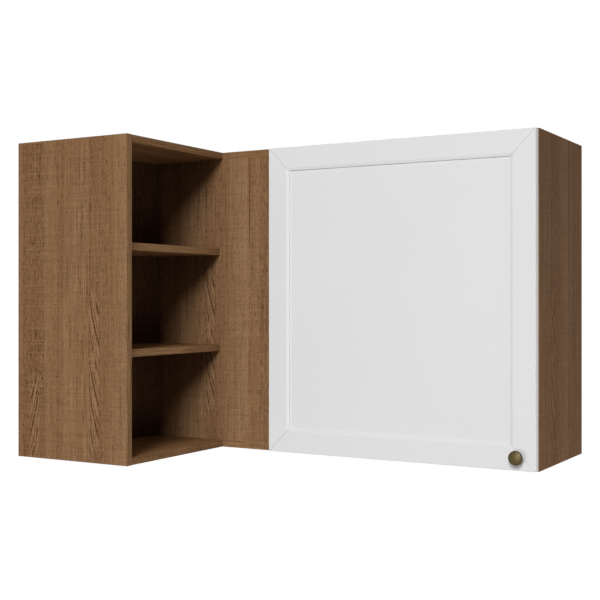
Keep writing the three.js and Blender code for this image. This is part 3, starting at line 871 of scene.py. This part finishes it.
def boardFinish(settings, lowFace="decor", highFace="decor"):
    soft = [label for label in ("band", "paint", "fibre") if label in settings["sides"]]
    return {
        "ease": boardSettings["bandEase"] if soft else boardSettings["rawEase"],
        "softSides": soft,
        "lowFace": lowFace,
        "highFace": highFace,
        **settings,
    }


def makeFlatBoards():
    made = {}
    for name, settings in boards.items():
        low, high = boxOf(name)
        axis = settings["axis"]
        plane = [index for index in range(3) if index != axis]
        outline = rectangle(low, high, plane)
        finish = boardFinish(settings, *faceDecors.get(name, ("decor", "decor")))
        made[name] = boardPiece(name + "_board", outline, axis, low[axis], high[axis], finish)
    return made


# Shelves and the slanted back of the wing

nicheSettings = {
    "shelfSpots": [(10.2, 0.4), (11.5, 2.8)],
    "backSpot": (12.3, 1.5),
    "innerShelfSpot": (13.6, 0.2),
    "shelfPlay": 0.001,
}


def convexOutline(name):
    # the node's corners in plan, in order round their middle, starting front left
    mesh = nodes[name].data
    spots = np.zeros(len(mesh.vertices) * 3)
    mesh.vertices.foreach_get("co", spots)
    spots = np.unique(np.round(spots.reshape(-1, 3)[:, :2], 6), axis=0)
    middle = spots.mean(axis=0)
    order = np.argsort(np.arctan2(spots[:, 1] - middle[1], spots[:, 0] - middle[0]))
    return spots[order]


def makeWingShelves():
    made = {}
    for index, spot in enumerate(nicheSettings["shelfSpots"]):
        name = f"niche_shelf_{index + 1}"
        low, high = boxOf(name)
        settings = {"grain": 1, "sides": panelSides, "spot": spot}
        # both faces take the warmer copy of the decor: painted warm bounced light
        finish = boardFinish(settings, "inside", "inside")
        made[name] = boardPiece(name + "_board", convexOutline(name), 2, low[2], high[2], finish)
    return made


def makeWingBack():
    name = "niche_back_panel"
    low, high = boxOf(name)
    # its two broad faces take the darker copy of the decor: painted shade
    settings = {"grain": 2, "sides": ("raw", "dark", "raw", "dark"), "spot": nicheSettings["backSpot"]}
    finish = boardFinish(settings, "raw", "raw")
    return {name: boardPiece(name + "_board", convexOutline(name), 2, low[2], high[2], finish)}


def makeInnerShelf():
    # runs from side to side, with a notch round the hinge stile
    name = "inner_shelf"
    low, high = boxOf(name)
    stileLow, stileHigh = boxOf("hinge_stile")
    play = nicheSettings["shelfPlay"]
    outline = [
        (low[0], low[1]),
        (stileLow[0] - play, low[1]),
        (stileLow[0] - play, stileHigh[1] + play),
        (stileHigh[0] + play, stileHigh[1] + play),
        (stileHigh[0] + play, low[1]),
        (high[0], low[1]),
        (high[0], high[1]),
        (low[0], high[1]),
    ]
    sides = ("raw", "raw", "raw", "raw", "band", "raw", "raw", "raw")
    settings = {"grain": 0, "sides": sides, "spot": nicheSettings["innerShelfSpot"]}
    return {name: boardPiece(name + "_board", outline, 2, low[2], high[2], boardFinish(settings))}


def makeBackSheets():
    made = {}
    for name, spot in (("back_panel_left", (14.1, 0.9)), ("back_panel_right", (15.4, 2.3))):
        low, high = boxOf(name)
        settings = {"grain": 2, "sides": ("fibre",) * 4, "spot": spot}
        # the inner face takes the darker copy of the decor: painted shade
        finish = boardFinish(settings, "dark", "fibre")
        made[name] = boardPiece(name + "_sheet", rectangle(low, high, (0, 2)), 1, low[1], high[1], finish)
    return made


boardsMade = {
    **makeFlatBoards(),
    **makeWingShelves(),
    **makeWingBack(),
    **makeInnerShelf(),
    **makeBackSheets(),
}


# Holes for cams and shelf pins, a little wider than what sits in them

holeSettings = {
    "camPlay": 0.0003,
    "pinPlay": 0.0003,
    # board: the shelf pins in it
    "pins": {
        "left_side": ("left_front", "left_rear"),
        "right_side": ("right_front", "right_rear"),
        "hinge_stile": ("middle",),
    },
}


def cutCamHoles(play):
    for end, upward in (("bottom", -1), ("top", 1)):
        cutters = []
        for row in ("front", "rear"):
            low, high = boxOf(f"cam_{end}_{row}")
            middle = (low + high) / 2
            middle[2] = low[2] if upward > 0 else high[2]
            radius = (high[0] - low[0]) / 2 + play
            cutters.append(roundCutter(middle, (0, 0, upward), radius, high[2] - low[2] + play))
        drill(boardsMade[end + "_board"], cutters)


def cutPinHoles(play):
    for board, pins in holeSettings["pins"].items():
        boardLow, boardHigh = boxOf(board)
        inward = 1 if board == "right_side" else -1
        face = boardLow[0] if inward > 0 else boardHigh[0]
        cutters = []
        for pin in pins:
            low, high = boxOf("shelf_pin_" + pin)
            middle = (low + high) / 2
            middle[0] = face
            depth = high[0] - face if inward > 0 else face - low[0]
            cutters.append(roundCutter(middle, (inward, 0, 0), (high[1] - low[1]) / 2 + play, depth, 32))
        drill(boardsMade[board], cutters)


cutCamHoles(holeSettings["camPlay"])
cutPinHoles(holeSettings["pinPlay"])
for nodeName, board in boardsMade.items():
    settleNormals(board)
    slotName = "back_board" if nodeName.startswith("back_panel") else "decor_board"
    mount(board, "carcass", slotName, nodeName)
print("boards made:", len(boardsMade))


# Door frame: one section carried along each side and sheared at 45 degrees for the mitres

doorSettings = {
    "flat": 0.0475,
    "bevel": 0.0065,
    "bevelDrop": 0.0015,
    "recess": 0.004,
    "grooveDepth": 0.008,
    "grooveFit": 0.00015,
    "mitreGap": 0.0004,
    "frontEase": 0.0012,
    "rearEase": 0.0006,
    "bevelEase": 0.0009,
    "lipEase": 0.0006,
    "cupPlay": 0.0003,
    "panelEase": 0.0004,
}
cupSettings = {"bowlRadius": 0.0175, "flangeRadius": 0.019}


def fillet(before, corner, after, radius, steps):
    # arc of the given radius that touches both lines at the corner
    before, corner, after = (np.asarray(point, float) for point in (before, corner, after))
    first = (before - corner) / np.linalg.norm(before - corner)
    second = (after - corner) / np.linalg.norm(after - corner)
    half = math.acos(np.clip(first @ second, -1, 1)) / 2
    reach = radius / math.tan(half)
    middle = first + second
    middle /= np.linalg.norm(middle)
    centre = corner + middle * (radius / math.sin(half))
    start = corner + first * reach - centre
    end = corner + second * reach - centre
    sweep = math.atan2(start[0] * end[1] - start[1] * end[0], start @ end)
    angles = np.linspace(0, sweep, steps + 1)[:, None]
    side = np.array([-start[1], start[0]])
    return centre + start * np.cos(angles) + side * np.sin(angles)


def doorSection(thickness, panelThickness):
    # (u, v): u from the door's outer edge inwards, v from its back forwards
    s = doorSettings
    inner = s["flat"] + s["bevel"]
    floor = inner - s["grooveDepth"]
    grooveFront = thickness - s["recess"] + s["grooveFit"]
    grooveBack = grooveFront - panelThickness - 2 * s["grooveFit"]
    corners = [
        # spot, then radius and steps of its round
        ((0, 0), s["rearEase"], 3),
        ((inner, 0), s["rearEase"], 3),
        ((inner, grooveBack), s["lipEase"], 2),
        ((floor, grooveBack), 0, 0),
        ((floor, grooveFront), 0, 0),
        ((inner, grooveFront), s["lipEase"], 2),
        ((inner, thickness - s["bevelDrop"]), s["lipEase"], 3),
        ((s["flat"], thickness), s["bevelEase"], 3),
        ((0, thickness), s["frontEase"], 5),
    ]
    parts = []
    for index, (spot, radius, steps) in enumerate(corners):
        before = corners[index - 1][0]
        after = corners[(index + 1) % len(corners)][0]
        parts.append(fillet(before, spot, after, radius, steps) if radius else np.array([spot], float))
    return np.vstack(parts)


def frameMember(name, section, length, corner, inward):
    # a point (u, v) of the section runs from u to length - u along the member
    count = len(section)
    across = np.array(inward, float)
    forward = np.array([0.0, -1.0, 0.0])
    along = np.cross(across, forward)
    trim = doorSettings["mitreGap"] / math.sqrt(2)
    base = np.asarray(corner) + section[:, :1] * across + section[:, 1:] * forward
    start = base + (section[:, :1] + trim) * along
    end = base + (length - section[:, :1] - trim) * along
    index = np.arange(count)
    faces = ringQuads(2, count).tolist() + [index[::-1].tolist(), (count + index).tolist()]
    return meshPiece(name, np.vstack([start, end]).tolist(), faces, [boardMaterials["paint"]])


def makeDoor():
    leftLow, leftHigh = boxOf("door_stile_left")
    panelLow, panelHigh = boxOf("door_panel")
    left = leftLow[0]
    right = boxOf("door_stile_right")[1][0]
    bottom = boxOf("door_rail_bottom")[0][2]
    top = boxOf("door_rail_top")[1][2]
    back = leftHigh[1]
    section = doorSection(back - leftLow[1], panelHigh[1] - panelLow[1])
    members = {
        "door_stile_left": (top - bottom, (left, back, top), (1, 0, 0)),
        "door_stile_right": (top - bottom, (right, back, bottom), (-1, 0, 0)),
        "door_rail_top": (right - left, (right, back, top), (0, 0, -1)),
        "door_rail_bottom": (right - left, (left, back, bottom), (0, 0, 1)),
    }
    made = {name: frameMember(name + "_frame", section, *run) for name, run in members.items()}
    cutters = []
    play = doorSettings["cupPlay"]
    for place in ("lower", "upper"):
        low, high = boxOf("hinge_link_" + place)
        cupLow = boxOf("hinge_cup_" + place)[0]
        radius = cupSettings["bowlRadius"] + play
        middle = (cupLow[0] + cupSettings["flangeRadius"], back, (low[2] + high[2]) / 2)
        cutters.append(roundCutter(middle, (0, -1, 0), radius, back - cupLow[1] + play, 72))
    drill(made["door_stile_left"], cutters)
    settings = {"grain": 2, "sides": ("paint",) * 4, "spot": (0, 0)}
    finish = {**boardFinish(settings, "paint", "paint"), "ease": doorSettings["panelEase"]}
    outline = rectangle(panelLow, panelHigh, (0, 2))
    made["door_panel"] = boardPiece("door_panel_board", outline, 1, panelLow[1], panelHigh[1], finish)
    for name, piece in made.items():
        settleNormals(piece, 30.0)
        mount(piece, "door", "door_paint", name)
    print("door made:", len(made))


makeDoor()


# Knob: waisted neck, rolled rim and a slightly domed face

knobSettings = {
    "footRadius": 0.007,
    "footHeight": 0.0012,
    "footEase": 0.0004,
    "neckRadius": 0.005,
    "waist": (0.003, 0.0085),
    "rimRadius": 0.015,
    "rimBack": 0.016,
    "rimStart": 0.0128,
    "shoulder": 0.021,
    "faceRadius": 0.0131,
    "faceDrop": 0.0008,
    "domeRadius": 0.0075,
    "reach": 0.024,
}


def bezier(start, control, end, steps):
    # (1 - t)^2 start + 2 t (1 - t) control + t^2 end, without its first point
    share = np.linspace(0, 1, steps + 1)[1:, None]
    start, control, end = (np.asarray(point, float) for point in (start, control, end))
    return start * (1 - share) ** 2 + control * 2 * share * (1 - share) + end * share ** 2


def makeKnob():
    s = knobSettings
    low, high = boxOf("door_knob")
    centre = (low + high) / 2
    place = np.array([centre[0], high[1], centre[2]])
    ease = s["footEase"]
    foot = (s["footRadius"], s["footHeight"])
    neck = (s["neckRadius"], s["waist"][1])
    rimStart = (s["rimStart"], s["rimBack"])
    rimMiddle = (s["rimRadius"], (s["rimBack"] + s["shoulder"]) / 2)
    face = (s["faceRadius"], s["shoulder"] + s["faceDrop"])
    profile = np.vstack([
        [(0.0, 0.0), (s["footRadius"] - ease, 0.0), (s["footRadius"], ease), foot],
        bezier(foot, (s["neckRadius"], s["waist"][0]), neck, 10),
        bezier(neck, (s["neckRadius"], s["rimBack"]), rimStart, 14),
        bezier(rimStart, (s["rimRadius"], s["rimBack"]), rimMiddle, 8),
        bezier(rimMiddle, (s["rimRadius"], s["shoulder"]), face, 8),
        bezier(face, (s["domeRadius"], s["reach"]), (0.0, s["reach"]), 14),
    ])
    piece = turnedPiece("door_knob_turned", profile, place, (0, -1, 0), makeKnobBrass(centre), 96)
    settleNormals(piece, 50.0)
    mount(piece, "door", "knob_brass", "door_knob")


makeKnob()
print("knob made")


# Screws, cams, shelf pins and pads, all turned

turnedSettings = {
    "headRadius": 0.0035,
    "headHeight": 0.0015,
    "headEase": 0.0007,
    "crossReach": 0.0021,
    "crossWidth": 0.00055,
    "crossDepth": 0.0011,
    "threadPitch": 0.0012,
    "threadDepth": 0.0003,
    "camCrossReach": 0.0042,
    "camCrossWidth": 0.0009,
    "camCrossDepth": 0.0035,
    "camEase": 0.0005,
    "pinEase": 0.0006,
    "pinGroove": 0.0002,
    "padFlank": 0.0004,
    "padLand": 0.3,  # share of the pad's radius that stays flat on top
}


def crossRecess(reach, width, depth):
    # depth of a cross whose four arms end softly: the deeper of two bars, smoothed over their edges
    def softBar(along, across):
        side = np.clip((width - np.abs(across)) / (0.35 * width) + 0.5, 0, 1)
        tip = np.clip((reach - np.abs(along)) / (0.4 * reach), 0, 1)
        return side * side * (3 - 2 * side) * tip

    return lambda x, y: depth * np.maximum(softBar(x, y), softBar(y, x))


def quarterRound(centre, radius, start, end, steps):
    # arc of (radius, height) points round a centre in the profile's plane, angles in degrees
    angles = np.radians(np.linspace(start, end, steps + 1))
    return np.stack([centre[0] + radius * np.cos(angles), centre[1] + radius * np.sin(angles)], axis=1)


def withShare(*parts):
    # the first part of a profile takes the recess, the others don't
    shares = [np.full(len(part), 0.0 if index else 1.0) for index, part in enumerate(parts)]
    return np.column_stack([np.vstack(parts), np.concatenate(shares)])


def screwProfile(shankRadius, length):
    # pan head with a fine grid of rings for the recess, then a shank with ridges and a point
    s = turnedSettings
    top = -s["headHeight"]
    ease = s["headEase"]
    flat = s["headRadius"] - ease
    rings = np.linspace(0, flat, 19)
    crown = np.column_stack([rings, np.full(19, top)])
    shoulder = quarterRound((flat, top + ease), ease, -90, 0, 5)[1:]
    turns = int((length - 3 * shankRadius) / s["threadPitch"])
    heights = np.linspace(2 * shankRadius, 2 * shankRadius + turns * s["threadPitch"], 4 * turns + 1)
    phase = np.arange(4 * turns + 1) % 4
    ridge = shankRadius - s["threadDepth"] * np.choose(phase, [0.0, 0.6, 1.0, 0.6])
    shank = np.column_stack([ridge, heights])
    neck = [(s["headRadius"], 0.0), (shankRadius, 0.0), (shankRadius, shankRadius)]
    return withShare(crown, shoulder, neck, shank, [(0.0, length)])


screwKinds = {
    # start of the screw's name: body, axis that the shank runs down, shank radius
    "hinge_cup_": ("door", 1, 0.0018),
    "hinge_plate_": ("carcass", 0, 0.0018),
    "hinge_arm_": ("carcass", 0, 0.0018),
    "knob_screw": ("door", 1, 0.002),
}


def runOf(name, axis, sign, headHeight=0.0):
    # where a turned piece starts, its direction, and its length beyond the head
    low, high = boxOf(name)
    start = (low + high) / 2
    start[axis] = high[axis] if sign < 0 else low[axis]
    direction = np.zeros(3)
    direction[axis] = sign
    start = start + direction * headHeight
    return start, direction, high[axis] - low[axis] - headHeight


def makeScrews():
    s = turnedSettings
    recess = crossRecess(s["crossReach"], s["crossWidth"], s["crossDepth"])
    for nameStart, (body, axis, shankRadius) in screwKinds.items():
        for name in [node for node in nodes if node.startswith(nameStart) and "screw" in node]:
            start, direction, length = runOf(name, axis, -1, s["headHeight"])
            profile = screwProfile(shankRadius, length)
            piece = turnedPiece(name + "_turned", profile, start, direction, castZinc, 72, recess)
            settleNormals(piece, 50.0)
            mount(piece, body, "zinc_fitting", name)


def makeCams():
    s = turnedSettings
    recess = crossRecess(s["camCrossReach"], s["camCrossWidth"], s["camCrossDepth"])
    for end, sign in (("bottom", -1), ("top", 1)):
        for row in ("front", "rear"):
            name = f"cam_{end}_{row}"
            start, direction, length = runOf(name, 2, sign)
            low, high = boxOf(name)
            radius = (high[0] - low[0]) / 2
            ease = s["camEase"]
            face = np.column_stack([np.linspace(0, radius - ease, 24), np.zeros(24)])
            rim = quarterRound((radius - ease, ease), ease, -90, 0, 4)[1:]
            profile = withShare(face, rim, [(radius, length), (0.0, length)])
            piece = turnedPiece(name + "_turned", profile, start, direction, castZinc, 96, recess)
            settleNormals(piece, 50.0)
            mount(piece, "carcass", "zinc_fitting", name)


def makeShelfPins():
    s = turnedSettings
    for name in [node for node in nodes if node.startswith("shelf_pin_")]:
        start, direction, length = runOf(name, 0, 1)
        low, high = boxOf(name)
        radius = (high[1] - low[1]) / 2
        ease = s["pinEase"]
        groove = length / 2 + np.array([-0.0009, -0.0006, 0.0006, 0.0009])
        profile = np.vstack([
            [(0.0, 0.0)],
            quarterRound((radius - ease, ease), ease, -90, 0, 4),
            np.column_stack([radius - s["pinGroove"] * np.array([0, 1, 1, 0]), groove]),
            quarterRound((radius - ease, length - ease), ease, 0, 90, 4),
            [(0.0, length)],
        ])
        piece = turnedPiece(name + "_turned", profile, start, direction, platedSteel, 48)
        settleNormals(piece, 40.0)
        mount(piece, "carcass", "plated_steel", name)


def makeBumpers():
    # a flat-topped dome: a short flank, then a quarter ellipse up to the land
    s = turnedSettings
    for name in ("bumper_lower", "bumper_upper"):
        start, direction, length = runOf(name, 1, 1)
        low, high = boxOf(name)
        radius = (high[0] - low[0]) / 2
        turn = np.radians(np.linspace(0, 90, 13))
        land = radius * s["padLand"]
        dome = np.column_stack([
            land + (radius - land) * np.cos(turn),
            s["padFlank"] + (length - s["padFlank"]) * np.sin(turn),
        ])
        profile = np.vstack([[(0.0, 0.0), (radius, 0.0)], dome, [(0.0, length)]])
        piece = turnedPiece(name + "_dome", profile, start, direction, padPlastic, 48)
        settleNormals(piece, 50.0)
        mount(piece, "door", "white_plastic", name)


makeScrews()
makeCams()
makeShelfPins()
makeBumpers()
print("turned fittings made")


# Hinge parts and the back's joiner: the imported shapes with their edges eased

easedSettings = {
    # start of the node's name: body, slot, material, how far edges are eased
    "hinge_cup_": ("door", "plated_steel", platedSteel, 0.00025),
    "hinge_arm_": ("carcass", "plated_steel", platedSteel, 0.0003),
    "hinge_plate_": ("carcass", "plated_steel", castZinc, 0.0004),
    "hinge_link_": ("hinge_links", "plated_steel", platedSteel, 0.00025),
    "back_joiner": ("carcass", "white_plastic", whitePlastic, 0.00025),
}


def easedCopy(name, body, slotLabel, material, width):
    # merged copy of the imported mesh, flat faces joined again, then a small round on each edge
    form = bmesh.new()
    form.from_mesh(nodes[name].data)
    bmesh.ops.remove_doubles(form, verts=form.verts, dist=1e-6)
    limit = math.radians(1.0)
    bmesh.ops.dissolve_limit(form, angle_limit=limit, verts=form.verts, edges=form.edges)
    mesh = bpy.data.meshes.new(name + "_eased")
    form.to_mesh(mesh)
    form.free()
    mesh.materials.clear()
    mesh.materials.append(material)
    piece = bpy.data.objects.new(name + "_eased", mesh)
    bpy.context.scene.collection.objects.link(piece)
    mesh.polygons.foreach_set("use_smooth", np.ones(len(mesh.polygons), bool))
    mesh.set_sharp_from_angle(angle=math.radians(38))
    bevel = piece.modifiers.new("easedEdges", "BEVEL")
    bevel.width = width
    bevel.segments = 3
    bevel.limit_method = "ANGLE"
    bevel.angle_limit = math.radians(38)
    bevel.harden_normals = False
    modifier = piece.modifiers.new("flatFaces", "WEIGHTED_NORMAL")
    modifier.weight = 100
    mount(piece, body, slotLabel, name)


for nameStart, look in easedSettings.items():
    for nodeName in [node for node in nodes if node.startswith(nameStart) and "screw" not in node]:
        easedCopy(nodeName, *look)
for nodeName, node in nodes.items():
    if nodeName.startswith("cam_bolt_"):
        node.data.materials.clear()
        node.data.materials.append(platedSteel)
print("hinges finished")


# Studio: key lamp in front to the right, soft light from the front, weaker ones from the right
# and from behind

studioSettings = {
    "floorDrop": 1.4,
    "floorRadius": 3.0,
    "floorSteps": 96,
    # azimuth to the right of the front, elevation, distance, width across, level, colour
    "keyLamp": (17.0, 26.0, 20.0, 6.8, 0.775, (0.966, 0.986, 1.0)),
    "fillLamp": (-1.0, -4.0, 16.0, 5.4, 0.235, (1.0, 0.93, 0.88)),
    "rightLamp": (93.0, -24.0, 2.8, 1.6, 0.315, (1.0, 0.985, 0.975)),
    "backLamp": (200.0, 25.0, 6.0, 2.2, 0.4, (1.0, 1.0, 1.0)),
    "ambient": 0.07,
    "frontAmbient": 0.06,
    "ambientColour": (1.0, 0.97, 0.93, 1.0),
}


def lampAt(name, azimuth, elevation, distance, size, level, colour):
    # level is what a white card facing the lamp would show
    lamp = bpy.data.lights.new(name, "AREA")
    lamp.shape = "DISK"
    lamp.size = size
    lamp.color = colour
    lamp.energy = level * math.pi ** 2 * distance ** 2
    holder = bpy.data.objects.new(name, lamp)
    bpy.context.scene.collection.objects.link(holder)
    low, high = cadBox
    middle = (np.array(low) + np.array(high)) / 2
    turn = math.radians(azimuth)
    lift = math.radians(elevation)
    direction = np.array([
        math.sin(turn) * math.cos(lift),
        -math.cos(turn) * math.cos(lift),
        math.sin(lift),
    ])
    holder.location = middle + direction * distance
    holder.rotation_euler = (math.radians(90) - lift, 0, turn)


def backgroundRays(tree):
    # 1 where the background is seen, straight or in gloss or glass
    paths = putNode(tree, "LightPath").outputs
    kinds = ("Is Camera Ray", "Is Glossy Ray", "Is Transmission Ray")
    return chain(tree, "MAXIMUM", *[paths[kind] for kind in kinds])


def makeWorld(settings):
    world = bpy.data.worlds.new("studio")
    bpy.context.scene.world = world
    world.use_nodes = True
    tree = world.node_tree
    tree.nodes.clear()
    place = putNode(tree, "TexCoord").outputs["Generated"]
    front = putNode(tree, "VectorMath", {0: place, 1: (0.3, -0.9, 0.3)}, operation="DOT_PRODUCT")
    facing = ease(tree, front.outputs["Value"], -0.2, 1.0)
    level = calc(tree, "ADD", calc(tree, "MULTIPLY", facing, settings["frontAmbient"]), settings["ambient"])
    soft = putNode(tree, "Background", {"Color": settings["ambientColour"], "Strength": level})
    white = putNode(tree, "Background", {"Color": (1, 1, 1, 1), "Strength": 1.0})
    mixed = putNode(tree, "MixShader", {0: backgroundRays(tree), 1: soft.outputs[0], 2: white.outputs[0]})
    putNode(tree, "OutputWorld", {0: mixed.outputs[0]})


def makeFloor(settings):
    # a pale disc far under the hung cabinet; it fades into the white background at its rim
    radius = settings["floorRadius"]
    height = cadBox[0][2] - settings["floorDrop"]
    steps = settings["floorSteps"]
    index = np.arange(steps)
    angles = index * (2 * math.pi / steps)
    rim = np.stack([radius * np.cos(angles), radius * np.sin(angles), np.full(steps, height)], axis=1)
    points = np.vstack([[(0.0, 0.0, height)], rim])
    faces = np.stack([np.zeros(steps, int), 1 + index, 1 + (index + 1) % steps], axis=1)
    material = bpy.data.materials.new("paleFloor")
    material.use_nodes = True
    tree = material.node_tree
    tree.nodes.clear()
    place = objectPlace(tree)
    grain = noise(tree, place, (30.0, 30.0, 30.0), 3.0)
    colour = blendColours(tree, grain, (0.80, 0.80, 0.79, 1), (0.86, 0.86, 0.85, 1))
    matt = putNode(tree, "BsdfDiffuse", {"Color": colour})
    strength = calc(tree, "MULTIPLY", backgroundRays(tree), 0.45)
    lift = putNode(tree, "Emission", {"Strength": strength})
    floorShade = putNode(tree, "AddShader", {0: matt.outputs[0], 1: lift.outputs[0]})
    clear = putNode(tree, "BsdfTransparent")
    length = putNode(tree, "VectorMath", {0: place}, operation="LENGTH").outputs["Value"]
    rimFade = ease(tree, length, radius * 0.5, radius * 0.95)
    under = putNode(tree, "NewGeometry").outputs["Backfacing"]
    hidden = calc(tree, "MAXIMUM", rimFade, under)
    mixed = putNode(tree, "MixShader", {0: hidden, 1: floorShade.outputs[0], 2: clear.outputs[0]})
    putNode(tree, "OutputMaterial", {0: mixed.outputs[0]})
    floor = meshPiece("studio_floor", points.tolist(), faces.tolist(), [material])


makeWorld(studioSettings)
makeFloor(studioSettings)
for lampName in ("keyLamp", "fillLamp", "rightLamp", "backLamp"):
    lampAt(lampName, *studioSettings[lampName])
print("studio made")
